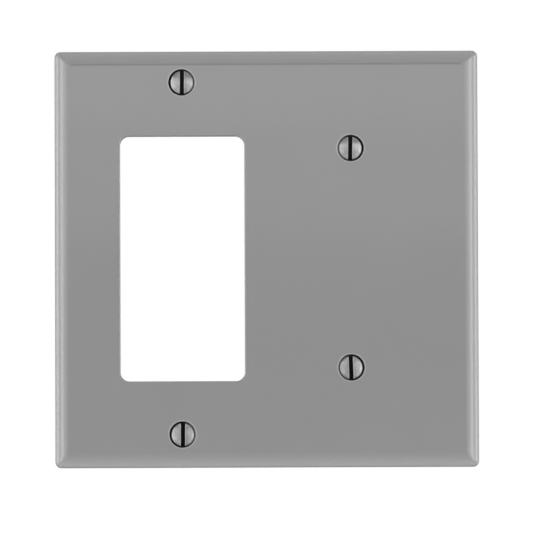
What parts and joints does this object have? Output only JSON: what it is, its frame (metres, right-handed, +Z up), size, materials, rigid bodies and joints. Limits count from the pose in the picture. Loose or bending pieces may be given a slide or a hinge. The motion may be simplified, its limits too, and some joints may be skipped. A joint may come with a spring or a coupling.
{
  "type": "switch wall plate",
  "caption": "Ganged wall plate with a rectangular window for a rocker switch beside a blank gang, a rounded front edge and slotted oval-head screws.",
  "frame": {"origin": "middle of the plane that the plate's back rim lies in, against the wall", "axes": "-Y out of the wall through the face, +X to the right for someone looking at the face, +Z up"},
  "size_m": [0.116, 0.0136, 0.1142],
  "materials": {
    "plate_plastic": "satin",
    "screw_steel": "satin"
  },
  "bodies": {
    "wall_plate": {"wall_plate": "plate_plastic"},
    "decorator_screw_upper": {"decorator_screw_upper": "screw_steel"},
    "decorator_screw_lower": {"decorator_screw_lower": "screw_steel"},
    "blank_screw_upper": {"blank_screw_upper": "screw_steel"},
    "blank_screw_lower": {"blank_screw_lower": "screw_steel"}
  },
  "joints": [
    {"name": "decorator_screw_upper_turn", "type": "hinge", "parent": "wall_plate", "child": "decorator_screw_upper", "pos_m": [-0.02302, 0, 0.04842], "axis": [0, 1, 0], "continuous": true},
    {"name": "decorator_screw_lower_turn", "type": "hinge", "parent": "wall_plate", "child": "decorator_screw_lower", "pos_m": [-0.02302, 0, -0.04842], "axis": [0, 1, 0], "continuous": true},
    {"name": "blank_screw_upper_turn", "type": "hinge", "parent": "wall_plate", "child": "blank_screw_upper", "pos_m": [0.02302, 0, 0.03017], "axis": [0, 1, 0], "continuous": true},
    {"name": "blank_screw_lower_turn", "type": "hinge", "parent": "wall_plate", "child": "blank_screw_lower", "pos_m": [0.02302, 0, -0.03017], "axis": [0, 1, 0], "continuous": true}
  ]
}
